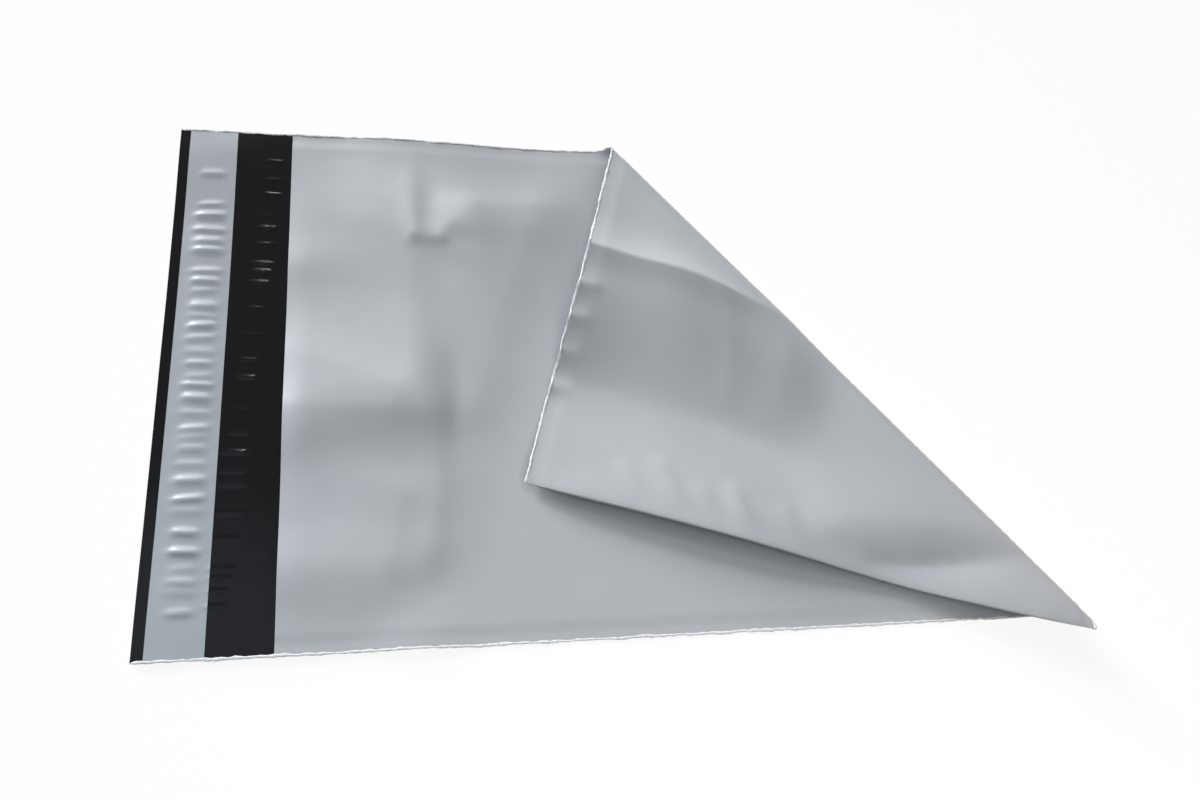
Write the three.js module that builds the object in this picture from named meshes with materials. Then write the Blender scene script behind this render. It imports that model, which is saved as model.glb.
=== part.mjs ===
// Poly mailer bag, empty and unsealed, lying on its back panel with its closed corner folded over.
// Millimetres, +Z up. The bag is laid out flat first, in (u, v): u runs from the mouth (0) to the bottom
// fold, the flap is on the negative side, and v runs across the bag from the near side weld to the far one.
// Every point of that layout also has a height d through the film, and place() rolls the layout over the
// diagonal fold without stretching it.
import * as THREE from "three";

// Bag, as cut and welded
const bagWidth = 250; // side edge to side edge
const bagDepth = 350; // mouth to bottom fold
const flapDepth = 50; // single film past the mouth
const filmThickness = 0.06;
const weldWidth = 5; // front and back film are fused this far in from each side edge
const pocketGap = 0.3; // air between the two films where the bag lies flat

// Closure on the flap
const linerWidth = 21;
const linerThickness = 0.08;
const linerEdgeMargin = 4.4; // black film left outside the liner
const adhesiveMargin = 2; // liner past the adhesive on both sides, for a finger to lift
const adhesiveThickness = 0.05;

// Diagonal fold
const foldStart = 156; // mouth to the fold, along the far side edge
const foldAngle = THREE.MathUtils.degToRad(53.9); // between the fold and that edge
const foldRadius = 6;
const rampAngle = THREE.MathUtils.degToRad(12); // how steeply the folded part comes down from the fold
const landingRadius = 150;
const layerClearance = 0.3; // between the folded part and the front panel that it lies on

// Forms in the film
const rippleHeight = 0.7; // puckers that the adhesive pulls into the flap
const rippleLength = 9.2;
const flapCurl = 2.2; // both ends of the flap curl up
const flapCurlReach = 62;
const frontPuff = 0.9; // trapped air lifts the front panel
const frontSwell = 0.35; // unevenly, by this much more or less
const foldedPuff = 1.6; // and the back panel where it is folded over
const edgeWave = 3.4; // lift of the far side edge
const edgeWaveLength = 116;
const edgeWaveReach = 80;

// Creases, as ridges in the layout: each dies away over left and right on its two sides, seen from start to
// end, and over tip past its ends
const mouthCrease = { start: [54.5, 182], end: [53, 112], left: 54, right: 115, tip: 34 };
const mouthCreaseHeight = 4.6; // parallel to the mouth
const halfCrease = { start: [-30, 105], end: [48, 103], left: 60, right: 33, tip: 24 };
const halfCreaseHeight = 3; // across the first one, from the mouth
const shoulder = { start: [84, 212], end: [130, 213], left: 30, right: 44, tip: 20 };
const shoulderHeight = 2.4; // by the far side edge
const packingCrease = { start: [227.5, 258], end: [235.5, 150], left: 64, right: 85, tip: 34 };
const packingCreaseHeight = 7.5; // sharp, across the folded part, in both films
const packingCreaseGape = 3.4; // and this much more in the upper one

// Facets
const panelRows = 18; // between the two welds
const rippleRowsPerPanelRow = 5;
const bendColumns = 11;

const farEdge = bagWidth;
const linerOuter = -flapDepth + linerEdgeMargin;
const linerInner = linerOuter + linerWidth;
const adhesiveOuter = linerOuter + adhesiveMargin;
const adhesiveInner = linerInner - adhesiveMargin;
const panelTop = 2 * filmThickness + pocketGap;
const foldedTop = panelTop + layerClearance + 2 * filmThickness;

const foldPoint = new THREE.Vector2(foldStart, farEdge);
const alongFold = new THREE.Vector2(Math.cos(foldAngle), -Math.sin(foldAngle));
const acrossFold = new THREE.Vector2(Math.sin(foldAngle), Math.cos(foldAngle));

const smooth = (x) => THREE.MathUtils.smoothstep(x, 0, 1);

// Signed distance from the fold line, positive on the side that is folded over.
function pastFold(u, v) {
  return (u - foldPoint.x) * acrossFold.x + (v - foldPoint.y) * acrossFold.y;
}

// Section of the fold, by arc length s from the fold line: level, a round bend of a little more than half a
// turn, a straight ramp down, a wide landing curve, and level again on top of the front panel.
const bendStart = (-Math.PI / 2) * foldRadius;
const bendTurn = Math.PI + rampAngle;
const rampDrop =
  foldRadius * (1 + Math.cos(rampAngle)) - landingRadius * (1 - Math.cos(rampAngle)) - foldedTop;
const rampLength = rampDrop / Math.sin(rampAngle);
const rampStart = bendStart + foldRadius * bendTurn;
const landingStart = rampStart + rampLength;
const landingEnd = landingStart + landingRadius * rampAngle;

function foldSection(s) {
  if (s <= bendStart) return { across: s, height: 0, turn: 0 };
  const bend = Math.min((s - bendStart) / foldRadius, bendTurn);
  let across = bendStart + foldRadius * Math.sin(bend);
  let height = foldRadius * (1 - Math.cos(bend));
  let turn = bend;
  if (s > rampStart) {
    const run = Math.min(s, landingStart) - rampStart;
    across -= run * Math.cos(rampAngle);
    height -= run * Math.sin(rampAngle);
  }
  if (s > landingStart) {
    const left = rampAngle - Math.min((s - landingStart) / landingRadius, rampAngle);
    across -= landingRadius * (Math.sin(rampAngle) - Math.sin(left));
    height -= landingRadius * (Math.cos(left) - Math.cos(rampAngle));
    turn = Math.PI + left;
  }
  if (s > landingEnd) across -= s - landingEnd;
  return { across, height, turn };
}

// Irregular puckers across the flap: none at its side edges, and dying away towards its outer edge and the mouth.
function ripple(u, v) {
  if (u >= 0) return 0;
  const along = (2 * Math.PI * v) / rippleLength;
  const wave = Math.sin(along + 1.7 * Math.sin(along / 7.3)) + 0.45 * Math.sin(1.63 * along + 1.1);
  const ends = smooth(v / 25) * smooth((farEdge - v) / 25);
  const across = smooth((u + flapDepth) / 8) * smooth(-u / 8);
  return (rippleHeight / 2) * (1 + THREE.MathUtils.clamp(wave / 1.3, -1, 1)) * ends * across;
}

// The flap curls up towards both side edges, more at the far one.
function curl(u, v) {
  const near = 0.6 * smooth(1 - v / flapCurlReach) ** 2;
  const far = smooth(1 - (farEdge - v) / flapCurlReach) ** 2;
  return flapCurl * (near + far) * smooth(-u / 14);
}

// Long waves lift the far side edge off the table, short of the fold.
function wave(u, v) {
  const reach = smooth((v - farEdge + edgeWaveReach) / edgeWaveReach);
  const span = smooth(u / 40) * smooth(-pastFold(u, v) / 40);
  return edgeWave * reach * span * (0.5 - 0.5 * Math.cos((2 * Math.PI * u) / edgeWaveLength));
}

// Height of a crease, from 0 to 1.
function creased(u, v, { start, end, left, right, tip }) {
  const way = new THREE.Vector2(end[0] - start[0], end[1] - start[1]);
  const length = way.length();
  way.normalize();
  const along = (u - start[0]) * way.x + (v - start[1]) * way.y;
  const off = (u - start[0]) * way.y - (v - start[1]) * way.x;
  const fall = Math.max(1 - Math.abs(off) / (off > 0 ? right : left), 0) ** 2;
  return fall * smooth((along + tip) / tip) * smooth((length + tip - along) / tip);
}

// 0 up on the fold, 1 where the folded part has come down.
function landed(u, v) {
  return smooth((pastFold(u, v) - rampStart + 12) / 40);
}

// 0 at the welds and at the bottom fold, 1 well inside the pocket.
function insidePocket(u, v, reach) {
  const sides = smooth((v - weldWidth) / reach) * smooth((farEdge - weldWidth - v) / reach);
  return sides * smooth((bagDepth - u) / 40);
}

// How far the front film stands off the back film, where the bag lies flat and face up.
function frontLift(u, v) {
  const clearOfFolded = smooth((distanceFromFoldedEdge(u, v) - 3) / 30);
  const puff = frontPuff + frontSwell * Math.sin(u / 26 + 0.6) * Math.cos(v / 31 - 0.5);
  const creases =
    mouthCreaseHeight * creased(u, v, mouthCrease) +
    halfCreaseHeight * creased(u, v, halfCrease) +
    shoulderHeight * creased(u, v, shoulder);
  return pocketGap + (puff + creases) * clearOfFolded * insidePocket(u, v, 34) * smooth((u + 20) / 30);
}

// The side edge of the folded part lies along this line on the front panel; positive towards the mouth.
const foldedEdge = alongFold.clone().multiplyScalar(2 * alongFold.x).sub(new THREE.Vector2(1, 0));
function distanceFromFoldedEdge(u, v) {
  return (u - foldPoint.x) * foldedEdge.y - (v - foldPoint.y) * foldedEdge.x;
}

// How far the back film stands off the front film, where the bag is folded over and face down.
function backLift(u, v) {
  const gape = packingCreaseGape * creased(u, v, packingCrease);
  return pocketGap + (foldedPuff + gape) * landed(u, v) * insidePocket(u, v, 45);
}

// The two films part by the front film on the level side of the fold and by the back film past it.
function filmLifts(u, v) {
  const turned = smooth((pastFold(u, v) - bendStart) / (rampStart - bendStart));
  return { back: turned * backLift(u, v), front: (1 - turned) * frontLift(u, v) };
}

function place(u, v, d) {
  const along = (u - foldPoint.x) * alongFold.x + (v - foldPoint.y) * alongFold.y;
  const section = foldSection(pastFold(u, v));
  const across = section.across - d * Math.sin(section.turn);
  const point = foldPoint
    .clone()
    .addScaledVector(alongFold, along)
    .addScaledVector(acrossFold, across);
  const tent = packingCreaseHeight * creased(u, v, packingCrease) * landed(u, v);
  const lift = ripple(u, v) + curl(u, v) + wave(u, v) + tent;
  return new THREE.Vector3(point.x, point.y, section.height + d * Math.cos(section.turn) + lift);
}

// Rows across the bag: the welds, the panel between them, and finer rows on the flap for its ripples.
const panelV = [0];
for (let i = 0; i <= panelRows; i++) {
  panelV.push(weldWidth + ((farEdge - 2 * weldWidth) * i) / panelRows);
}
panelV.push(farEdge);
const flapV = [];
panelV.slice(1).forEach((v, i) => {
  const parts = i === 0 || i === panelRows + 1 ? 1 : rippleRowsPerPanelRow;
  for (let k = 0; k < parts; k++) flapV.push(panelV[i] + ((v - panelV[i]) * k) / parts);
});
flapV.push(farEdge);

// Columns of the flap, with one on each edge of the liner and of the adhesive.
const flapU = [
  -flapDepth,
  linerOuter,
  adhesiveOuter,
  (adhesiveOuter + adhesiveInner) / 2,
  adhesiveInner,
  linerInner,
  (linerInner * 2) / 3,
  linerInner / 3,
  0,
];

// Columns of the panels: some by the mouth, then even ones up to the fold, one on each line of the bend, and
// even ones to the bottom. They lean with the fold, so each row has its own. Near the bottom fold, where they
// would leave the panel, they are crowded together.
const mouthColumns = [0, 14, 28, 41, mouthCrease.end[0], 69, 83];
const levelColumns = 6;
const rampColumns = 4;
const landedColumns = 5;
const columnLines = [];
for (let i = 1; i <= bendColumns; i++) {
  columnLines.push(bendStart + ((rampStart - bendStart) * (i - 1)) / (bendColumns - 1));
}
for (let i = 1; i <= rampColumns; i++) {
  columnLines.push(rampStart + ((landingEnd - rampStart) * i) / rampColumns);
}
const leastColumn = 0.4;
const filmEnd = bagDepth - filmThickness;
function panelU(v) {
  const lineU = (s) => foldPoint.x + (s - (v - foldPoint.y) * acrossFold.y) / acrossFold.x;
  const columns = [...mouthColumns];
  const start = columns[columns.length - 1];
  const first = lineU(columnLines[0]);
  for (let i = 1; i < levelColumns; i++) columns.push(start + ((first - start) * i) / levelColumns);
  columnLines.forEach((s) => columns.push(lineU(s)));
  const last = columns[columns.length - 1];
  for (let i = 1; i <= landedColumns; i++) columns.push(last + ((filmEnd - last) * i) / landedColumns);
  columns[columns.length - 1] = filmEnd;
  for (let i = columns.length - 2; i > 0; i--) {
    columns[i] = Math.min(columns[i], columns[i + 1] - leastColumn);
  }
  // The packing crease takes the nearest column to its crest
  const [foot, top] = [packingCrease.end, packingCrease.start];
  if (v > foot[1]) {
    const crest = foot[0] + ((top[0] - foot[0]) * (v - foot[1])) / (top[1] - foot[1]);
    const gaps = columns.map((u) => Math.abs(u - crest));
    columns[gaps.indexOf(Math.min(...gaps))] = crest;
  }
  return columns;
}

// Collects triangles, with one vertex for each place in the layout.
class Shell {
  constructor() {
    this.points = [];
    this.keys = new Map();
    this.triangles = [];
  }
  vertex(u, v, d) {
    const key = [u, v, d].map((x) => x.toFixed(5)).join();
    if (!this.keys.has(key)) {
      this.keys.set(key, this.points.length);
      this.points.push(place(u, v, d));
    }
    return this.keys.get(key);
  }
  // A sheet between two rows of vertices that run the same way. Its face looks along (run of the rows) x
  // (low to high), or the other way when it is turned; the cuts between its triangles are the same in both.
  strip(low, high, turned = false) {
    let i = 0;
    let j = 0;
    while (i < low.length - 1 || j < high.length - 1) {
      const stepLow = j === high.length - 1 || (i + 1) / low.length <= (j + 1) / high.length;
      const next = stepLow && i < low.length - 1 ? low[i + 1] : high[j + 1];
      const corners = [low[i], next, high[j]];
      if (new Set(corners).size === 3) this.triangles.push(...(turned ? corners.reverse() : corners));
      if (next === low[i + 1] && stepLow) i++;
      else j++;
    }
  }
  // In a corner of the pocket the two inner faces can coincide back to back, and then both are left out.
  mesh(name, material) {
    const faces = new Map();
    for (let i = 0; i < this.triangles.length; i += 3) {
      const corners = this.triangles.slice(i, i + 3);
      const key = [...corners].sort().join();
      if (faces.has(key)) faces.delete(key);
      else faces.set(key, corners);
    }
    const geometry = new THREE.BufferGeometry();
    geometry.setFromPoints(this.points);
    geometry.setIndex([...faces.values()].flat());
    geometry.computeVertexNormals();
    const mesh = new THREE.Mesh(geometry, material);
    mesh.name = name;
    return mesh;
  }
}

// One web of film, folded at the bottom of the bag and fused along both sides, open at the mouth.
function bagFilm(material) {
  const shell = new Shell();
  const fusedAt = (u, v) => v <= weldWidth || v >= farEdge - weldWidth || u >= filmEnd;
  const backD = (u, v) => (fusedAt(u, v) || u < 0 ? 0 : -filmLifts(u, v).back);
  const frontD = (u, v) => filmThickness + (fusedAt(u, v) ? 0 : filmLifts(u, v).front);
  const backOuter = (u, v) => shell.vertex(u, v, backD(u, v));
  const backInner = (u, v) => shell.vertex(u, v, backD(u, v) + filmThickness);
  const frontInner = (u, v) => shell.vertex(u, v, frontD(u, v));
  const frontOuter = (u, v) => shell.vertex(u, v, frontD(u, v) + filmThickness);

  // Flap: one film, from its outer edge to the mouth
  for (let j = 0; j < flapV.length - 1; j++) {
    const row = (v, surface) => flapU.map((u) => surface(u, v));
    const ends = flapV.slice(j, j + 2);
    shell.strip(...ends.map((v) => row(v, backInner)));
    shell.strip(...ends.map((v) => row(v, backOuter)), true);
    const rim = (surface) => ends.map((v) => surface(-flapDepth, v));
    shell.strip(rim(backOuter), rim(backInner), true);
  }

  // Panels: four faces where there is a pocket, two where the films are fused
  for (let j = 0; j < panelV.length - 1; j++) {
    const ends = panelV.slice(j, j + 2);
    const columns = ends.map((v) => panelU(v));
    const mouthV = flapV.filter((v) => v >= ends[0] && v <= ends[1]);
    const fused = j === 0 || j === panelV.length - 2;
    const sheet = (surface, turned) => {
      const [low, high] = ends.map((v, k) => columns[k].map((u) => surface(u, v)));
      const mouth = mouthV.map((v) => surface(0, v));
      shell.strip([low[1], high[1]], mouth, turned);
      shell.strip(low.slice(1), high.slice(1), turned);
    };
    sheet(backOuter, true);
    sheet(frontOuter, false);
    if (!fused) {
      sheet(backInner, false);
      sheet(frontInner, true);
    }
    // Cut edge of the front film, and the bottom fold
    const rim = (surface) => mouthV.map((v) => surface(0, v));
    shell.strip(rim(frontInner), rim(frontOuter), true);
    const round = (v) => [
      backOuter(filmEnd, v),
      shell.vertex(bagDepth, v, filmThickness),
      frontOuter(filmEnd, v),
    ];
    shell.strip(...ends.map(round), true);
  }

  // Cut ends of the welds and of the flap, along both side edges
  for (const v of [0, farEdge]) {
    const turned = v > 0;
    shell.strip(flapU.map((u) => backOuter(u, v)), flapU.map((u) => backInner(u, v)), turned);
    const columns = panelU(v);
    const low = columns.map((u) => backOuter(u, v));
    const high = columns.map((u) => frontOuter(u, v));
    low.push(shell.vertex(bagDepth, v, filmThickness));
    high.unshift(backInner(0, v));
    shell.strip(low, high, turned);
  }
  return shell.mesh("bag_film", material);
}

// A strip on the flap, from side edge to side edge, between two heights over the film's underside.
function flapStrip(name, material, outer, inner, bottom, top) {
  const shell = new Shell();
  const columns = flapU.filter((u) => u >= outer && u <= inner);
  const row = (v, d) => columns.map((u) => shell.vertex(u, v, d));
  for (let j = 0; j < flapV.length - 1; j++) {
    const ends = flapV.slice(j, j + 2);
    const rim = (u, d) => ends.map((v) => shell.vertex(u, v, d));
    shell.strip(...ends.map((v) => row(v, top)));
    shell.strip(...ends.map((v) => row(v, bottom)), true);
    shell.strip(rim(outer, bottom), rim(outer, top), true);
    shell.strip(rim(inner, bottom), rim(inner, top));
  }
  shell.strip(row(0, bottom), row(0, top));
  shell.strip(row(farEdge, bottom), row(farEdge, top), true);
  return shell.mesh(name, material);
}

const filmMaterial = new THREE.MeshStandardMaterial({ color: 0xb4b9bf, roughness: 0.42, metalness: 0 });
const linerMaterial = new THREE.MeshStandardMaterial({ color: 0xc3c8ce, roughness: 0.35, metalness: 0 });
const adhesiveMaterial = new THREE.MeshStandardMaterial({ color: 0xd8cfae, roughness: 0.3, metalness: 0 });

const layout = new THREE.Group();
const adhesiveTop = filmThickness + adhesiveThickness;
layout.add(
  bagFilm(filmMaterial),
  flapStrip("adhesive_strip", adhesiveMaterial, adhesiveOuter, adhesiveInner, filmThickness, adhesiveTop),
  flapStrip("release_liner", linerMaterial, linerOuter, linerInner, adhesiveTop, adhesiveTop + linerThickness),
);

// The origin is under the middle of the folded bag, on the table.
const extent = new THREE.Box3().setFromObject(layout, true);
const middle = extent.getCenter(new THREE.Vector3());
layout.children.forEach((mesh) => mesh.geometry.translate(-middle.x, -middle.y, -extent.min.z));

export default layout;
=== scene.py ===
# A poly mailer bag with a peel-and-seal flap, lying face up with its closed corner folded over the front.
#
# The bag's own lengths are in millimetres, in the flat layout in which it is cut: u runs from the mouth to the
# bottom fold, with the flap on the negative side, v runs from the near side edge to the far one, and d is the
# height through the two films. place() rolls that layout over the diagonal fold and gives metres.
import math

import bmesh
import bpy
import numpy as np
from mathutils import Euler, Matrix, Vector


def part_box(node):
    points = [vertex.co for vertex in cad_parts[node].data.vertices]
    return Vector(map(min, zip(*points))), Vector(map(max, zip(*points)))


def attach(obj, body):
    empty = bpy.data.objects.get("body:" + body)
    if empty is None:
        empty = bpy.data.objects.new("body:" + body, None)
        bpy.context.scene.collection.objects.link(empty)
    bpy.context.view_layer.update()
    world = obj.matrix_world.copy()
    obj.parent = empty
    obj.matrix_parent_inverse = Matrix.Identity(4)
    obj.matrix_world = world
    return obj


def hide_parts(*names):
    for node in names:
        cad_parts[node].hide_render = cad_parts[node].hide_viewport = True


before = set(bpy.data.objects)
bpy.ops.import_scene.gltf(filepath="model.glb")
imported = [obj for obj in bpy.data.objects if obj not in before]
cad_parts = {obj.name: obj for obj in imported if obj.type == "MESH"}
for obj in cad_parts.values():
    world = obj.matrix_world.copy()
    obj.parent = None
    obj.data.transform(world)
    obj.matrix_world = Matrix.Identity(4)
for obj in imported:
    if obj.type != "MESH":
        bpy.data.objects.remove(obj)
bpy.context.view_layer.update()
LINER_LOW, LINER_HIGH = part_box("release_liner")

MM = 0.001

# The bag as it is cut, with its place taken from the liner, which runs from side edge to side edge
BAG_DEPTH = 350.0
FLAP_DEPTH = 50.0
LINER_MARGIN = 4.4
FILM = 0.06
WELD = 5.0
POCKET_GAP = 0.3
ADHESIVE = 0.05
ADHESIVE_MARGIN = 2.0
LINER = 0.08
WIDTH = (LINER_HIGH[1] - LINER_LOW[1]) / MM
LINER_OUTER = LINER_MARGIN - FLAP_DEPTH
LINER_INNER = LINER_OUTER + (LINER_HIGH[0] - LINER_LOW[0]) / MM
MOUTH_X = LINER_LOW[0] - LINER_OUTER * MM
NEAR_Y = LINER_LOW[1]

# Diagonal fold, as in the solids
FOLD_START = 156.0
FOLD_ANGLE = math.radians(53.9)
FOLD_RADIUS = 6.0
RAMP_ANGLE = math.radians(12)
LANDING_RADIUS = 150.0
LAYER_CLEARANCE = 0.3
ALONG = np.array([math.cos(FOLD_ANGLE), -math.sin(FOLD_ANGLE)])
ACROSS = np.array([math.sin(FOLD_ANGLE), math.cos(FOLD_ANGLE)])
FOLDED_TOP = 4 * FILM + POCKET_GAP + LAYER_CLEARANCE
BEND_START = -math.pi / 2 * FOLD_RADIUS
BEND_TURN = math.pi + RAMP_ANGLE
RAMP_START = BEND_START + FOLD_RADIUS * BEND_TURN
RAMP_DROP = FOLD_RADIUS * (1 + math.cos(RAMP_ANGLE)) - LANDING_RADIUS * (1 - math.cos(RAMP_ANGLE)) - FOLDED_TOP
LANDING_START = RAMP_START + RAMP_DROP / math.sin(RAMP_ANGLE)
LANDING_END = LANDING_START + LANDING_RADIUS * RAMP_ANGLE

# Mesh density
ROW_STEP = 2.2
COLUMN_STEP = 2.6
CREASE_STEP = 0.9
FLAP_ROWS_PER_ROW = 4
FLAP_COLUMN_STEP = 2.4
ARC_PARTS = 6
WELD_ROWS = (0, 1.2, 3, WELD)
FINE_MARGIN = 4.0  # the fine columns reach this far past the packing crease
SHARP_EDGE = math.radians(38)  # past this angle between faces an edge isn't smoothed
MERGE_DISTANCE = 2e-6
ROUNDING = 1e-6

# Camera, from the vanishing points and the bag's known edges
CAMERA_PLACE = (35.0, -110.3, 408.0)  # in the bag's layout
CAMERA_TILT = (28.684, -10.604, -6.082)  # degrees
CAMERA_FOCUS = 1065.8  # pixels, in a picture that is PICTURE_WIDTH pixels wide
PICTURE_WIDTH = 1200
SENSOR_WIDTH = 36


def smooth(x):
    x = np.clip(x, 0.0, 1.0)
    return x * x * (3 - 2 * x)


def rising(x, start, length):
    """From 0 at start to 1 a length farther on."""
    return smooth((x - start) / length)


def falling(x, end, length):
    """From 1 a length before the end to 0 at the end."""
    return smooth((end - x) / length)


def past_fold(u, v):
    return (u - FOLD_START) * ACROSS[0] + (v - WIDTH) * ACROSS[1]


def fold_section(s):
    """Across, height and turn at arc length s from the fold line."""
    bend = np.clip((s - BEND_START) / FOLD_RADIUS, 0, BEND_TURN)
    ramp = np.clip(s, RAMP_START, LANDING_START) - RAMP_START
    left = RAMP_ANGLE - np.clip((s - LANDING_START) / LANDING_RADIUS, 0, RAMP_ANGLE)
    landing = s > LANDING_START
    across = np.minimum(s, BEND_START) + FOLD_RADIUS * np.sin(bend) - ramp * math.cos(RAMP_ANGLE)
    across = across - np.where(landing, LANDING_RADIUS * (math.sin(RAMP_ANGLE) - np.sin(left)), 0)
    across = across - np.maximum(s - LANDING_END, 0)
    height = FOLD_RADIUS * (1 - np.cos(bend)) - ramp * math.sin(RAMP_ANGLE)
    height = height - np.where(landing, LANDING_RADIUS * (np.cos(left) - math.cos(RAMP_ANGLE)), 0)
    turn = np.where(landing, math.pi + left, bend)
    return across, height, turn


def wander(x, step, seed):
    """Smooth random line through a value between -1 and 1 at every step."""
    values = np.random.default_rng(seed).uniform(-1, 1, 2000)
    place_in_values = np.asarray(x, float) / step + 500.0
    left = np.floor(place_in_values).astype(int)
    part = smooth(place_in_values - left)
    return values[left] * (1 - part) + values[left + 1] * part


def crease(u, v, start, end, height, before, after, tip, sharpness, fall=2.0):
    """A ridge from start to end that ends at a distance: before on its left hand and after on its right."""
    start, end = np.array(start, float), np.array(end, float)
    length = np.linalg.norm(end - start)
    way = (end - start) / length
    along = (u - start[0]) * way[0] + (v - start[1]) * way[1]
    off = (u - start[0]) * way[1] - (v - start[1]) * way[0]
    reach = np.where(off > 0, after, before)
    rounded = np.sqrt(off**2 + sharpness**2) - sharpness
    ends = smooth((along + tip) / tip) * smooth((length + tip - along) / tip)
    return height * np.clip(1 - rounded / reach, 0, 1) ** fall * ends


# Puckers that the adhesive pulls into the flap, by their places along it: under the liner, and beside it
LINER_PUCKERS = (
    (225, 208, 202, 194, 188, 183, 172, 167, 162, 154, 149, 144, 138, 131, 125.5)
    + (119, 115, 109, 102, 95, 91, 86, 79, 72, 64, 59, 50, 42, 35, 30, 26, 18)
)
BAND_PUCKERS = (  # with their heights
    *((233.5, 0.2), (223, 0.2), (215, 0.3), (203, 0.12), (196.3, 0.42), (187.5, 0.2)),
    *((177, 0.42), (173, 0.36), (167, 0.36), (153.5, 0.24), (140, 0.18), (127.5, 0.26)),
    *((119, 0.44), (105, 0.15), (93, 0.26), (84.5, 0.48), (76, 0.26), (70, 0.3)),
    *((58, 0.2), (47, 0.24), (35, 0.34), (31, 0.34), (26, 0.3), (20, 0.26)),
)
PUCKER_SEED = 11
PUCKER_MIDDLE = (LINER_OUTER + LINER_INNER) / 2 + 0.5
PUCKER_WIDTH = 1.9
PUCKER_WIDTH_SHARES = (0.85, 1.25)  # least and most, here and in the next three
PUCKER_HEIGHTS = (0.35, 1.05)
PUCKER_LENGTHS = (4.6, 6.0)
PUCKER_SLANTS = (-0.1, 0.06)
BAND_PUCKER_WIDTH = 0.9
BAND_PUCKER_LENGTHS = (3.2, 4.4)
BAND_PUCKER_SLANT = -0.03
BAND_PUCKER_LINE = ((15, 250), (-22.5, -6.0))  # they drift across the band: places along it, and u there
BAND_MIDDLE = -13.5
BAND_HOLLOW = 0.0011  # the black band is a valley between liner and front panel: height over squared distance,
BAND_HOLLOW_CAP = 140.0  # and the squared distance at which it ends
FLAP_SWELL = 0.3  # slow waves along the flap
FLAP_SWELL_STEP = 31
FLAP_SWELL_SEED = 5
FLAP_END_REACH = 14.0  # puckers and waves fade towards both ends of the flap
CURL = 3.0  # the flap and the mouth curl up at the side edges, least at the near one
CURL_REACH = 90.0
CURL_DEPTH = 75.0  # from the mouth to where the curl has faded
NEAR_CURL_SHARE = 0.3


def bar(u, v, at, middle, slant, width, length):
    """A short ridge across the flap, flat-topped along u and rounded along v."""
    across = (v - at - slant * (u - middle)) / width
    return np.exp(-(across**2)) * smooth(1.5 - np.abs(u - middle) / length)


def flap_rise(u, v):
    """Puckers and waves of the flap alone, which end at the mouth."""
    random = np.random.default_rng(PUCKER_SEED)
    puckers = np.zeros(np.broadcast(u, v).shape)
    for at in LINER_PUCKERS:
        height = random.uniform(*PUCKER_HEIGHTS)
        slant = random.uniform(*PUCKER_SLANTS)
        width = PUCKER_WIDTH * random.uniform(*PUCKER_WIDTH_SHARES)
        length = random.uniform(*PUCKER_LENGTHS)
        puckers = puckers + height * bar(u, v, at, PUCKER_MIDDLE, slant, width, length)
    for at, height in BAND_PUCKERS:
        middle = np.interp(at, *BAND_PUCKER_LINE)
        length = random.uniform(*BAND_PUCKER_LENGTHS)
        puckers = puckers + height * bar(u, v, at, middle, BAND_PUCKER_SLANT, BAND_PUCKER_WIDTH, length)
    ends = rising(v, 0, FLAP_END_REACH) * falling(v, WIDTH, FLAP_END_REACH)
    swell = FLAP_SWELL * (1 + wander(v, FLAP_SWELL_STEP, FLAP_SWELL_SEED)) * ends
    hollow = BAND_HOLLOW * np.minimum((u - BAND_MIDDLE) ** 2, BAND_HOLLOW_CAP)
    rise = puckers * ends * falling(u, 0, 3) + swell * falling(u, 0, 14) + hollow * falling(u, 0, 4)
    return np.where(u < 0, rise, 0)


def curl_rise(u, v):
    far = rising(v, WIDTH - CURL_REACH, CURL_REACH) ** 2
    near = falling(v, CURL_REACH, CURL_REACH) ** 2
    return CURL * (far + NEAR_CURL_SHARE * near) * falling(u, CURL_DEPTH, CURL_DEPTH)


# Long waves in both films along the side edges of the level part: the far edge's from the mouth to the fold
FAR_WAVE = 2.6
FAR_WAVE_LENGTH = 116.0
FAR_REACH = 80.0
FAR_FADE = 40.0  # towards the mouth and the fold
NEAR_WAVE = 1.6
NEAR_WAVE_PLACE = 54.0
NEAR_WAVE_WIDTH = 15.0
NEAR_REACH = 26.0


def edge_rise(u, v):
    wave = 0.5 - 0.5 * np.cos(2 * math.pi * u / FAR_WAVE_LENGTH)
    far = rising(v, WIDTH - FAR_REACH, FAR_REACH) * wave
    far = far * rising(u, 0, FAR_FADE) * falling(past_fold(u, v), 0, FAR_FADE)
    near = falling(v, NEAR_REACH, NEAR_REACH) * np.exp(-(((u - NEAR_WAVE_PLACE) / NEAR_WAVE_WIDTH) ** 2))
    return FAR_WAVE * far + NEAR_WAVE * near


# Tucks in the side weld of the folded part, below the packing crease
TUCK_START = 250.0
TUCK_SPACING = 16.6
TUCKS = 4
TUCK_HEIGHT = 1.7  # of the first one
TUCK_LOSS = 0.2  # from one to the next
TUCK_WIDTH = 3.0
TUCK_REACH = 13.0


def tuck_rise(u, v):
    rise = np.zeros(np.broadcast(u, v).shape)
    outwards = rising(v, WIDTH - TUCK_REACH, TUCK_REACH)
    for k in range(TUCKS):
        middle = TUCK_START + k * TUCK_SPACING
        height = TUCK_HEIGHT - TUCK_LOSS * k
        rise = rise + height * outwards * np.exp(-(((u - middle) / TUCK_WIDTH) ** 2))
    return rise


def folded_edge_distance(u, v):
    """Distance from the line on the front panel where the side edge of the folded part lies."""
    edge = 2 * ALONG[0] * ALONG - np.array([1.0, 0.0])
    return (u - FOLD_START) * edge[1] - (v - WIDTH) * edge[0]


# How far in from each closed side of the pocket the front film reaches its full lift
NEAR_POCKET_REACH = 34.0
FAR_POCKET_REACH = 50.0
BOTTOM_POCKET_REACH = 40.0


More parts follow.
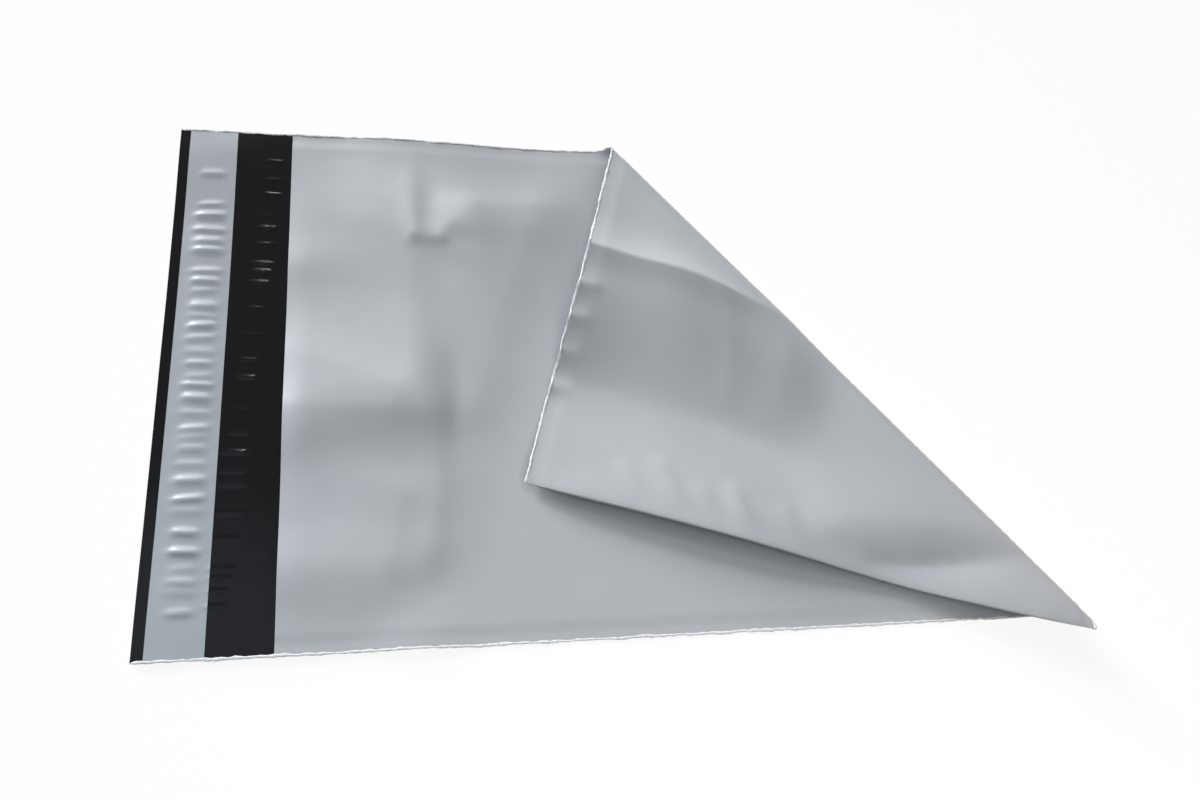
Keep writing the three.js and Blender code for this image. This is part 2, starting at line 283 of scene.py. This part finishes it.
def inside_pocket(u, v):
    sides = rising(v, WELD, NEAR_POCKET_REACH) * falling(v, WIDTH - WELD, FAR_POCKET_REACH)
    return sides * falling(u, BAG_DEPTH, BOTTOM_POCKET_REACH)


# Creases in the front panel: start, end, height, reach on the left hand and on the right, length of the tips,
# and how rounded the crest is
FRONT_CREASES = (
    ((56, 275), (55, 196), 0.7, 6, 9, 16, 1),
    ((72, 275), (71, 200), 0.8, 40, 10, 14, 2),
    ((54.5, 262), (53, 114), 3.4, 54, 90, 30, 2),
    ((56, 191.5), (68, 190), 0.8, 10, 4, 5, 1.0),
    ((68, 190), (84, 211), 1.0, 20, 40, 12, 2),
    ((86, 212), (130, 213), 3.4, 34, 95, 24, 2),
    ((-30, 105), (54, 101), 4.2, 60, 50, 20, 2.5),
    ((4, 131), (45, 111), 0.6, 18, 24, 14, 2),
    ((64, 96), (61, 44), 1.0, 30, 10, 22, 2),
    ((48, 62), (32, -10), 1.5, 22, 50, 18, 3),
)
FRONT_FALL = 1.5
FRONT_PUFF = 0.9  # trapped air lifts the front panel, unevenly by the swell
FRONT_SWELL = 0.35
MOUTH_LIPS = ((176, 15), (92, 13), (30, 18))  # where the mouth gapes: place along it, and how wide
MOUTH_LIP = 1.9
MOUTH_LIP_REACH = 20.0
MOUTH_RISE = (-20, 30)  # start and length of the lift at the mouth
FOLDED_EDGE_MARGIN = 3.0  # the front panel lies flat under the folded part and this far beside it,
FOLDED_EDGE_REACH = 30.0  # and has its full lift this much farther out


def front_lift(u, v):
    """How far the front film stands off the back film on the level side."""
    rise = FRONT_PUFF + FRONT_SWELL * np.sin(u / 26 + 0.6) * np.cos(v / 31 - 0.5)
    for start, end, height, before, after, tip, sharpness in FRONT_CREASES:
        rise = rise + crease(u, v, start, end, height, before, after, tip, sharpness, fall=FRONT_FALL)
    for at, width in MOUTH_LIPS:
        inwards = np.exp(-np.maximum(u, 0) / MOUTH_LIP_REACH)
        rise = rise + MOUTH_LIP * inwards * np.exp(-(((v - at) / width) ** 2))
    clear = rising(folded_edge_distance(u, v), FOLDED_EDGE_MARGIN, FOLDED_EDGE_REACH)
    return rise * clear * inside_pocket(u, v) * rising(u, *MOUTH_RISE)


# The folded part has its own forms from just before the ramp
LANDED_MARGIN = 12.0
LANDED_REACH = 40.0

# The sharp crease across the folded part, from packing
PACKING_CREASE = ((227.5, 258.0), (235.5, 150.0))
PACKING_CREASE_TIP = 34.0
CREASE_HEIGHT = 3.9  # of the upper film over the lower one
CREASE_TENT = 7.5  # of both films
CREASE_CREST = 3.1  # of the sharp crest on the tent
TENT_REACHES = (64, 70)  # on the left hand and on the right
CREST_REACHES = (14, 24)
# The closed corner stands off the panel under it, less so towards the side edge, over these starts and lengths
CORNER_RISE = 6.6
CORNER_ALONG = (292, 64)
CORNER_ACROSS = (60, 100)
CORNER_LOSS = 0.45
CORNER_LOSS_ACROSS = (175, 75)
# The folded part's side edge curls up, and more so in a hump below the packing crease
SIDE_CURL = 2.2
SIDE_CURL_REACH = 40.0
SIDE_CURL_END = (310, 40)
SIDE_HUMP = 4.5
HUMP_START = (215, 34)
HUMP_END = (300, 48)
HUMP_ACROSS = (WIDTH - 95, 100)
FOLDED_PUFF = 1.6  # trapped air between the two films, full this far in from each closed side
BACK_NEAR_REACH = 30.0
BACK_FAR_REACH = 60.0
BACK_BOTTOM_REACH = 16.0
FOLDED_CREASES = (
    ((236, 182), (276, 172), 0.5, 11, 13, 16, 1.5),
    ((168, 240), (200, 194), 0.6, 26, 26, 24, 3),
    ((328, 112), (308, 36), 1.6, 24, 60, 24, 4),
)
# The valley that leads from the bottom fold to the diagonal one
CORNER_VALLEY = (((343, 96), (333, 62)), ((333, 62), (322, 24)))
VALLEY_DEPTH = 3.2
VALLEY_REACHES = (20, 14)  # on the left hand and on the right
VALLEY_TIP = 10
VALLEY_SHARPNESS = 0.5
VALLEY_LANDING = LANDING_END - 6  # it fades out before the folded part lies on the front panel
VALLEY_FADE = 34.0
# Small slanting wrinkles along the bottom fold: where each one meets it, its height and its length
BOTTOM_WRINKLES = (
    *((232, 0.7, 22), (214, 0.5, 26), (199, 0.85, 18), (181, 0.6, 24)),
    *((166, 0.45, 16), (150, 0.75, 20), (128, 0.5, 18)),
)
WRINKLE_SLANT = 0.6
WRINKLE_REACHES = (7, 9)  # on the left hand and on the right
WRINKLE_TIP = 8
WRINKLE_SHARPNESS = 0.8


def landed_share(u, v):
    return rising(past_fold(u, v), RAMP_START - LANDED_MARGIN, LANDED_REACH)


def packing_crease(u, v, height, reaches, sharpness, fall):
    ridge = crease(u, v, *PACKING_CREASE, height, *reaches, PACKING_CREASE_TIP, sharpness, fall)
    return landed_share(u, v) * ridge


def packing_tent(u, v):
    """The broad form of the packing crease, 1 high."""
    return packing_crease(u, v, 1.0, TENT_REACHES, sharpness=1.0, fall=1.3)


def packing_crest(u, v):
    return packing_crease(u, v, CREASE_CREST, CREST_REACHES, sharpness=0.6, fall=2.0)


def corner_rise(u, v):
    kept = 1 - CORNER_LOSS * rising(v, *CORNER_LOSS_ACROSS)
    return CORNER_RISE * rising(u, *CORNER_ALONG) * rising(v, *CORNER_ACROSS) * kept


def side_rise(u, v):
    curl = SIDE_CURL * rising(v, WIDTH - SIDE_CURL_REACH, SIDE_CURL_REACH) ** 2 * falling(u, *SIDE_CURL_END)
    hump = SIDE_HUMP * rising(v, *HUMP_ACROSS) * rising(u, *HUMP_START) * falling(u, *HUMP_END)
    return landed_share(u, v) * (curl + hump)


def corner_valley(u, v):
    depth = np.zeros(np.broadcast(u, v).shape)
    for start, end in CORNER_VALLEY:
        part = crease(u, v, start, end, VALLEY_DEPTH, *VALLEY_REACHES, VALLEY_TIP, VALLEY_SHARPNESS)
        depth = np.maximum(depth, part)
    return landed_share(u, v) * depth * falling(past_fold(u, v), VALLEY_LANDING, VALLEY_FADE)


def fold_rise(u, v):
    """What both films of the folded part do together."""
    crossing = CREASE_TENT * packing_tent(u, v) + packing_crest(u, v)
    return crossing + corner_rise(u, v) + side_rise(u, v) - corner_valley(u, v)


def back_lift(u, v):
    """How far the back film stands off the front film on the folded side."""
    rise = FOLDED_PUFF + np.zeros(np.broadcast(u, v).shape)
    for start, end, height, before, after, tip, sharpness in FOLDED_CREASES:
        rise = rise + crease(u, v, start, end, height, before, after, tip, sharpness)
    rise = rise * landed_share(u, v) + CREASE_HEIGHT * packing_tent(u, v)
    for at, height, length in BOTTOM_WRINKLES:
        start = (BAG_DEPTH, at)
        end = (BAG_DEPTH - length, at + WRINKLE_SLANT * length)
        rise = rise + crease(u, v, start, end, height, *WRINKLE_REACHES, WRINKLE_TIP, WRINKLE_SHARPNESS)
    edges = rising(v, WELD, BACK_NEAR_REACH) * falling(v, WIDTH - WELD, BACK_FAR_REACH)
    return rise * edges * falling(u, BAG_DEPTH, BACK_BOTTOM_REACH)


BOTTOM_GAP = 1.4  # the film springs open along its bottom fold
BOTTOM_REACH = 15.0
BOTTOM_END_REACH = 20.0  # the gap closes towards both welds
ROUND_END = BAG_DEPTH - (BOTTOM_GAP / 2 + FILM)


def film_gap(u, v):
    open_part = rising(v, WELD, ROW_STEP) * falling(v, WIDTH - WELD, ROW_STEP)
    ends = rising(v, WELD, BOTTOM_END_REACH) * falling(v, WIDTH - WELD, BOTTOM_END_REACH)
    near_bottom = smooth(1 - (ROUND_END - u) / BOTTOM_REACH) * ends
    return (POCKET_GAP + (BOTTOM_GAP - POCKET_GAP) * near_bottom) * open_part


def lifts(u, v):
    """How far the back film lies under the layout's plane, and the front film above it."""
    turned = rising(past_fold(u, v), BEND_START, RAMP_START - BEND_START)
    gap = film_gap(u, v)
    return turned * (gap + back_lift(u, v)), (1 - turned) * (gap + front_lift(u, v))


def back_outer(u, v):
    return -np.where(u < 0, 0, lifts(u, v)[0])


def back_inner(u, v):
    return back_outer(u, v) + FILM


def front_inner(u, v):
    return lifts(u, v)[1] + FILM


def front_outer(u, v):
    return front_inner(u, v) + FILM


def place(u, v, d):
    """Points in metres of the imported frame, for points of the layout."""
    u, v, d = np.broadcast_arrays(np.asarray(u, float), np.asarray(v, float), np.asarray(d, float))
    across, height, turn = fold_section(past_fold(u, v))
    along = (u - FOLD_START) * ALONG[0] + (v - WIDTH) * ALONG[1]
    across = across - d * np.sin(turn)
    height = height + d * np.cos(turn) + flap_rise(u, v) + curl_rise(u, v)
    height = height + edge_rise(u, v) + tuck_rise(u, v) + fold_rise(u, v)
    x = FOLD_START + along * ALONG[0] + across * ACROSS[0]
    y = WIDTH + along * ALONG[1] + across * ACROSS[1]
    return np.stack([MOUTH_X + x * MM, NEAR_Y + y * MM, height * MM], axis=-1)


class Shell:
    """Collects faces over the layout, and merges their borders into one closed mesh."""

    def __init__(self):
        self.points, self.layout, self.faces, self.slots = [], [], [], []
        self.count = 0

    def vertices(self, u, v, d):
        u, v, d = np.broadcast_arrays(u, v, d)
        ids = np.arange(self.count, self.count + u.size).reshape(u.shape)
        self.count += u.size
        self.points.append(place(u, v, d).reshape(-1, 3))
        self.layout.append(np.stack([u, v], axis=-1).reshape(-1, 2) * MM)
        return ids

    def quads(self, ids, slot, turned=False):
        a, b, c, d = ids[:-1, :-1], ids[:-1, 1:], ids[1:, 1:], ids[1:, :-1]
        for corners in ((a, b, c), (a, c, d)):
            rows = np.stack([k.ravel() for k in (corners[::-1] if turned else corners)], axis=1)
            self.faces.extend(rows.tolist())
            self.slots.extend([slot] * len(rows))

    def polygon(self, ids, slot, turned=False):
        self.faces.append([int(i) for i in (ids[::-1] if turned else ids)])
        self.slots.append(slot)

    def build(self, name, materials):
        mesh = bpy.data.meshes.new(name)
        mesh.from_pydata(np.concatenate(self.points).tolist(), [], self.faces)
        for material in materials:
            mesh.materials.append(material)
        mesh.polygons.foreach_set("material_index", self.slots)
        layer = mesh.uv_layers.new(name="layout")
        corners = np.zeros(len(mesh.loops), np.int32)
        mesh.loops.foreach_get("vertex_index", corners)
        layer.data.foreach_set("uv", np.concatenate(self.layout)[corners].ravel())
        work = bmesh.new()
        work.from_mesh(mesh)
        bmesh.ops.remove_doubles(work, verts=work.verts, dist=MERGE_DISTANCE)
        for edge in work.edges:
            edge.smooth = not (edge.is_manifold and edge.calc_face_angle() > SHARP_EDGE)
        for face in work.faces:
            face.smooth = True
        work.to_mesh(mesh)
        work.free()
        piece = bpy.data.objects.new(name, mesh)
        bpy.context.scene.collection.objects.link(piece)
        return piece


def steps(start, end, step):
    return np.linspace(start, end, max(2, round(abs(end - start) / step) + 1))


def join(*parts):
    return np.concatenate([parts[0]] + [p[1:] for p in parts[1:]])


NEAR_ROWS = np.array(WELD_ROWS)
ROWS = join(NEAR_ROWS, steps(WELD, WIDTH - WELD, ROW_STEP), WIDTH - NEAR_ROWS[::-1])
FINE_ROWS = join(*[np.linspace(a, b, FLAP_ROWS_PER_ROW + 1) for a, b in zip(ROWS[:-1], ROWS[1:])])
FINE_START = PACKING_CREASE[0][0] - FINE_MARGIN
FINE_END = PACKING_CREASE[1][0] + FINE_MARGIN
COLUMNS = join(
    steps(0, FINE_START, COLUMN_STEP),
    steps(FINE_START, FINE_END, CREASE_STEP),
    steps(FINE_END, ROUND_END, COLUMN_STEP),
)
FLAP_COLUMNS = join(
    steps(-FLAP_DEPTH, LINER_OUTER, FLAP_COLUMN_STEP),
    steps(LINER_OUTER, LINER_INNER, FLAP_COLUMN_STEP),
    steps(LINER_INNER, 0, FLAP_COLUMN_STEP),
)


def make_film(outside, inside):
    shell = Shell()
    outer, inner = 0, 1
    welded_rows = np.searchsorted(ROWS, WELD - ROUNDING), np.searchsorted(ROWS, WIDTH - WELD - ROUNDING)

    def panel(surface, slot, turned, rows):
        first, last = rows
        u, v = np.meshgrid(COLUMNS[1:], ROWS[first : last + 1])
        inner_part = shell.vertices(u, v, surface(u, v))
        shell.quads(inner_part, slot, turned)
        fine = FINE_ROWS[first * FLAP_ROWS_PER_ROW : last * FLAP_ROWS_PER_ROW + 1]
        mouth = shell.vertices(0.0, fine, surface(np.zeros_like(fine), fine))
        for i in range(last - first):
            edge = mouth[i * FLAP_ROWS_PER_ROW : (i + 1) * FLAP_ROWS_PER_ROW + 1]
            shell.polygon([inner_part[i, 0], inner_part[i + 1, 0], *edge[::-1]], slot, turned)

    whole = (0, len(ROWS) - 1)
    panel(back_outer, outer, True, whole)
    panel(front_outer, outer, False, whole)
    panel(back_inner, inner, False, welded_rows)
    panel(front_inner, inner, True, welded_rows)

    # Flap
    u, v = np.meshgrid(FLAP_COLUMNS, FINE_ROWS)
    shell.quads(shell.vertices(u, v, 0.0), outer, True)
    shell.quads(shell.vertices(u, v, FILM), inner)

    # Cut edges of the flap and of the front film at the mouth
    def rim(at, low, high):
        levels = np.stack([low, high], axis=1)
        shell.quads(shell.vertices(at, FINE_ROWS[:, None], levels), outer)

    no_height = np.zeros_like(FINE_ROWS)
    rim(-FLAP_DEPTH, no_height, no_height + FILM)
    rim(0.0, front_inner(no_height, FINE_ROWS), front_outer(no_height, FINE_ROWS))

    # Bottom fold, rounded outside and inside the pocket
    def round_fold(rows, back, front, slot, turned):
        v = ROWS[rows[0] : rows[1] + 1][:, None]
        ends = [surface(np.full_like(v, ROUND_END), v) for surface in (back, front)]
        middle, radius = (ends[0] + ends[1]) / 2, (ends[1] - ends[0]) / 2
        angle = np.linspace(-math.pi / 2, math.pi / 2, ARC_PARTS + 1)[None, :]
        ids = shell.vertices(ROUND_END + radius * np.cos(angle), v, middle + radius * np.sin(angle))
        shell.quads(ids, slot, turned)
        return ids

    arc = round_fold(whole, back_outer, front_outer, outer, True)
    round_fold(welded_rows, back_inner, front_inner, inner, False)

    # Cut side edges
    for edge, turned in ((0.0, False), (WIDTH, True)):
        levels = FILM * np.arange(3)[:, None]
        ids = shell.vertices(COLUMNS[None, :], edge, levels)
        shell.quads(ids, outer, turned)
        shell.quads(shell.vertices(FLAP_COLUMNS[None, :], edge, levels[:2]), outer, turned)
        shell.polygon([*arc[-1 if turned else 0], ids[1, -1]], outer, turned)
    return shell.build("bag_film_web", [outside, inside])


def make_strip(name, outer, inner, low, high, material):
    """A strip on the flap from side edge to side edge, between two heights over the film's underside."""
    shell = Shell()
    columns = FLAP_COLUMNS[(FLAP_COLUMNS > outer - ROUNDING) & (FLAP_COLUMNS < inner + ROUNDING)]
    columns = np.unique(np.round(np.concatenate([[outer], columns, [inner]]), 4))
    u, v = np.meshgrid(columns, FINE_ROWS)
    shell.quads(shell.vertices(u, v, low), 0, True)
    shell.quads(shell.vertices(u, v, high), 0)
    levels = np.array([low, high])
    for at, turned in ((outer, False), (inner, True)):
        shell.quads(shell.vertices(at, FINE_ROWS[:, None], levels[None, :]), 0, turned)
    for at, turned in ((0.0, False), (WIDTH, True)):
        shell.quads(shell.vertices(columns[None, :], at, levels[:, None]), 0, turned)
    return shell.build(name, [material])


# Bead that the hot knife leaves along each side edge
BEAD_STEP = 0.6
BEAD_SIDES = 10
BEAD_HALF_WIDTH = 0.55
BEAD_HALF_HEIGHT = 0.2
BEAD_INSET = 0.25  # of its middle from the cut edge
BEAD_END = 0.3  # from the flap's cut edge
BEAD_TAPER = 1.2


def make_bead(name, edge, inward, seed, material):
    """An uneven round bead along a side edge, on the side of the film that faces up."""
    shell = Shell()
    u = steps(-FLAP_DEPTH + BEAD_END, ROUND_END, BEAD_STEP)[:, None]
    angle = (2 * math.pi * np.arange(BEAD_SIDES + 1) / BEAD_SIDES)[None, :]
    half_width = BEAD_HALF_WIDTH * (1 + 0.35 * wander(u, 1.7, seed) + 0.25 * wander(u, 6, seed + 1))
    half_height = BEAD_HALF_HEIGHT * (1 + 0.3 * wander(u, 1.3, seed + 2) + 0.3 * wander(u, 5, seed + 3))
    ends = np.sqrt(np.clip(np.minimum(u - u[0], u[-1] - u) / BEAD_TAPER, 0.02, 1))
    side = edge + inward * (BEAD_INSET + 0.2 * wander(u, 2.3, seed + 4) + 0.15 * wander(u, 11, seed + 5))
    folded = rising(past_fold(u, edge), BEND_START, RAMP_START - BEND_START)
    middle = np.where(u < 0, FILM, 2 * FILM) / 2 + (half_height - FILM) * (1 - 2 * folded)
    v = side + half_width * ends * np.cos(angle)
    d = middle + half_height * ends * np.sin(angle)
    ids = shell.vertices(np.broadcast_to(u, v.shape), v, d)
    shell.quads(ids, 0, False)
    shell.polygon(ids[0, :-1], 0, True)
    shell.polygon(ids[-1, :-1], 0, False)
    return shell.build(name, [material])


# Materials
def shader(name, colour, roughness):
    material = bpy.data.materials.new(name)
    material.use_nodes = True
    tree = material.node_tree
    surface = tree.nodes["Principled BSDF"]
    surface.inputs["Base Color"].default_value = (*colour, 1)
    surface.inputs["Roughness"].default_value = roughness
    return material, tree, surface


def noise(tree, scale, detail=3.0, stretch=(1.0, 1.0)):
    """Noise over the flat layout, drawn out along u or v by stretch."""
    layout = tree.nodes.new("ShaderNodeUVMap")
    layout.uv_map = "layout"
    mapping = tree.nodes.new("ShaderNodeMapping")
    mapping.inputs["Scale"].default_value = (scale / stretch[0], scale / stretch[1], 1)
    texture = tree.nodes.new("ShaderNodeTexNoise")
    texture.inputs["Scale"].default_value = 1.0
    texture.inputs["Detail"].default_value = detail
    tree.links.new(layout.outputs["UV"], mapping.inputs["Vector"])
    tree.links.new(mapping.outputs["Vector"], texture.inputs["Vector"])
    return texture.outputs["Fac"]


def spread(tree, value, low, high):
    """Maps the middle half of a noise to low .. high."""
    node = tree.nodes.new("ShaderNodeMapRange")
    node.inputs["From Min"].default_value = 0.25
    node.inputs["From Max"].default_value = 0.75
    node.inputs["To Min"].default_value = low
    node.inputs["To Max"].default_value = high
    tree.links.new(value, node.inputs["Value"])
    return node.outputs["Result"]


def tint(tree, surface, value, colour, share):
    """Varies the base colour by plus or minus share."""
    mix = tree.nodes.new("ShaderNodeMix")
    mix.data_type = "RGBA"
    mix.inputs["A"].default_value = (*[c * (1 - share) for c in colour], 1)
    mix.inputs["B"].default_value = (*[c * (1 + share) for c in colour], 1)
    tree.links.new(spread(tree, value, 0, 1), mix.inputs["Factor"])
    tree.links.new(mix.outputs["Result"], surface.inputs["Base Color"])


def bump(tree, surface, layers):
    """Stacks bumps: each layer is (height, strength, distance in metres)."""
    last = None
    for height, strength, distance in layers:
        node = tree.nodes.new("ShaderNodeBump")
        node.inputs["Strength"].default_value = strength
        node.inputs["Distance"].default_value = distance
        tree.links.new(height, node.inputs["Height"])
        if last:
            tree.links.new(last, node.inputs["Normal"])
        last = node.outputs["Normal"]
    tree.links.new(last, surface.inputs["Normal"])


OUTSIDE_COLOUR = (0.366, 0.384, 0.404)
INSIDE_COLOUR = (0.005, 0.005, 0.006)
LINER_COLOUR = (0.235, 0.26, 0.285)
BEAD_COLOUR = (0.62, 0.63, 0.65)
ADHESIVE_COLOUR = (0.60, 0.54, 0.38)


def film_outside():
    material, tree, surface = shader("film_outside", OUTSIDE_COLOUR, 0.4)
    tint(tree, surface, noise(tree, 22, 4), OUTSIDE_COLOUR, 0.03)
    tree.links.new(spread(tree, noise(tree, 60, 3), 0.34, 0.46), surface.inputs["Roughness"])
    die_lines = noise(tree, 700, 2, (1, 90))
    crinkle = noise(tree, 45, 4)
    bump(tree, surface, [(crinkle, 0.25, 0.0006), (die_lines, 0.08, 0.0001)])
    return material


def film_inside():
    material, tree, surface = shader("film_inside", INSIDE_COLOUR, 0.17)
    surface.inputs["Specular IOR Level"].default_value = 0.09
    tree.links.new(spread(tree, noise(tree, 80, 4), 0.14, 0.2), surface.inputs["Roughness"])
    die_lines = noise(tree, 700, 2, (1, 90))
    crinkle = noise(tree, 60, 3)
    bump(tree, surface, [(crinkle, 0.2, 0.0005), (die_lines, 0.06, 0.0001)])
    return material


def liner_film():
    material, tree, surface = shader("liner_film", LINER_COLOUR, 0.38)
    surface.inputs["Specular IOR Level"].default_value = 1.0
    tint(tree, surface, noise(tree, 30, 3), LINER_COLOUR, 0.02)
    tree.links.new(spread(tree, noise(tree, 70, 3), 0.36, 0.46), surface.inputs["Roughness"])
    bump(tree, surface, [(noise(tree, 500, 2, (1, 60)), 0.06, 0.0001)])
    return material


def cut_bead():
    material, tree, surface = shader("cut_bead", BEAD_COLOUR, 0.5)
    tint(tree, surface, noise(tree, 700, 3), BEAD_COLOUR, 0.18)
    bump(tree, surface, [(noise(tree, 1500, 3), 0.5, 0.0002)])
    return material


def tacky_adhesive():
    material, tree, surface = shader("tacky_adhesive", ADHESIVE_COLOUR, 0.25)
    tint(tree, surface, noise(tree, 90, 2), ADHESIVE_COLOUR, 0.05)
    return material


# Pieces
film = make_film(film_outside(), film_inside())
adhesive_top = FILM + ADHESIVE
adhesive_sides = LINER_OUTER + ADHESIVE_MARGIN, LINER_INNER - ADHESIVE_MARGIN
adhesive = make_strip("hot_melt_strip", *adhesive_sides, FILM, adhesive_top, tacky_adhesive())
liner = make_strip("peel_liner", LINER_OUTER, LINER_INNER, adhesive_top, adhesive_top + LINER, liner_film())
bead_material = cut_bead()
beads = [
    make_bead("near_edge_bead", edge=0.0, inward=1, seed=21, material=bead_material),
    make_bead("far_edge_bead", edge=WIDTH, inward=-1, seed=41, material=bead_material),
]

for piece in (film, adhesive, liner, *beads):
    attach(piece, "root")
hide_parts("bag_film")
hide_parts("adhesive_strip")
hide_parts("release_liner")


# Stage: an even white floor and background, seen only by the camera and in reflections, and five lamps
FLOOR_SIZE = 8
FLOOR_COLOUR = (0.95, 0.95, 0.95)
FLOOR_DROP = 0.0003  # metres under the bag
FLOOR_WHITE_SHARE = 0.88  # the rest is the lit floor with the bag's shadow
WORLD_STRENGTH = 0.06
WORLD_COLOUR = (1.15, 0.97, 0.76)
FAR_LAMP_COLOUR = (1.0, 1.0, 1.02)
NEAR_LAMP_COLOUR = (0.99, 1.0, 0.97)
LEFT_LAMP_COLOUR = (0.80, 0.99, 1.18)
LAMPS = (  # name, direction from the bag's middle, distance and side in metres, radiance and colour
    ("key", (-0.53, 0.80, 0.29), 15.0, 6.0, 36, FAR_LAMP_COLOUR),
    ("window", (-0.10, 0.80, 0.59), 2.6, 0.12, 150, FAR_LAMP_COLOUR),
    ("right", (0.25, 0.41, 0.88), 2.6, 0.6, 4.6, FAR_LAMP_COLOUR),
    ("near", (0.12, -0.30, 0.40), 0.514, 0.3, 3.0, NEAR_LAMP_COLOUR),
    ("left", (-0.27, 0.0, 0.48), 0.551, 0.3, 1.4, LEFT_LAMP_COLOUR),
)


def light_path_mix(tree, plain, seen, output, share):
    """Shows `seen` to the camera and in reflections for this share, and `plain` to all else."""
    path = tree.nodes.new("ShaderNodeLightPath")
    chosen = path.outputs["Is Camera Ray"]
    for ray in ("Is Glossy Ray", "Is Transmission Ray"):
        either = tree.nodes.new("ShaderNodeMath")
        either.operation = "MAXIMUM"
        tree.links.new(chosen, either.inputs[0])
        tree.links.new(path.outputs[ray], either.inputs[1])
        chosen = either.outputs[0]
    part = tree.nodes.new("ShaderNodeMath")
    part.operation = "MULTIPLY"
    part.inputs[1].default_value = share
    tree.links.new(chosen, part.inputs[0])
    mix = tree.nodes.new("ShaderNodeMixShader")
    tree.links.new(part.outputs[0], mix.inputs[0])
    tree.links.new(plain, mix.inputs[1])
    tree.links.new(seen, mix.inputs[2])
    tree.links.new(mix.outputs[0], output)


def make_floor():
    bpy.ops.mesh.primitive_plane_add(size=FLOOR_SIZE, location=(0, 0, -FLOOR_DROP))
    floor = bpy.context.object
    floor.name = "floor"
    material = bpy.data.materials.new("floor")
    material.use_nodes = True
    tree = material.node_tree
    surface = tree.nodes["Principled BSDF"]
    surface.inputs["Base Color"].default_value = (*FLOOR_COLOUR, 1)
    surface.inputs["Roughness"].default_value = 0.9
    glow = tree.nodes.new("ShaderNodeEmission")
    output = tree.nodes["Material Output"].inputs["Surface"]
    light_path_mix(tree, surface.outputs[0], glow.outputs[0], output, FLOOR_WHITE_SHARE)
    floor.data.materials.append(material)


def make_world():
    world = bpy.data.worlds.new("world")
    bpy.context.scene.world = world
    world.use_nodes = True
    tree = world.node_tree
    plain = tree.nodes["Background"]
    plain.inputs["Strength"].default_value = WORLD_STRENGTH
    plain.inputs["Color"].default_value = (*WORLD_COLOUR, 1)
    white = tree.nodes.new("ShaderNodeBackground")
    white.inputs["Strength"].default_value = 1.0
    white.inputs["Color"].default_value = (1, 1, 1, 1)
    output = tree.nodes["World Output"].inputs["Surface"]
    light_path_mix(tree, plain.outputs[0], white.outputs[0], output, 1.0)


def add_lamp(name, direction, distance, size, radiance, colour):
    """A square area lamp that faces the bag's middle."""
    towards = np.array(direction) / np.linalg.norm(direction)
    data = bpy.data.lights.new(name, "AREA")
    data.size = size
    data.energy = radiance * math.pi * size**2
    data.color = colour
    light = bpy.data.objects.new(name, data)
    light.location = towards * distance
    light.rotation_euler = light.location.to_track_quat("Z", "Y").to_euler()
    bpy.context.scene.collection.objects.link(light)


def make_camera():
    data = bpy.data.cameras.new("camera")
    data.sensor_width = SENSOR_WIDTH
    data.lens = CAMERA_FOCUS / PICTURE_WIDTH * SENSOR_WIDTH
    data.clip_start = 0.01
    camera = bpy.data.objects.new("camera", data)
    x, y, z = CAMERA_PLACE
    camera.location = (MOUTH_X + x * MM, NEAR_Y + y * MM, z * MM)
    camera.rotation_euler = Euler([math.radians(a) for a in CAMERA_TILT], "XYZ")
    bpy.context.scene.collection.objects.link(camera)
    bpy.context.scene.camera = camera


make_floor()
make_world()
for lamp in LAMPS:
    add_lamp(*lamp)
make_camera()
bpy.context.scene.view_settings.view_transform = "Standard"
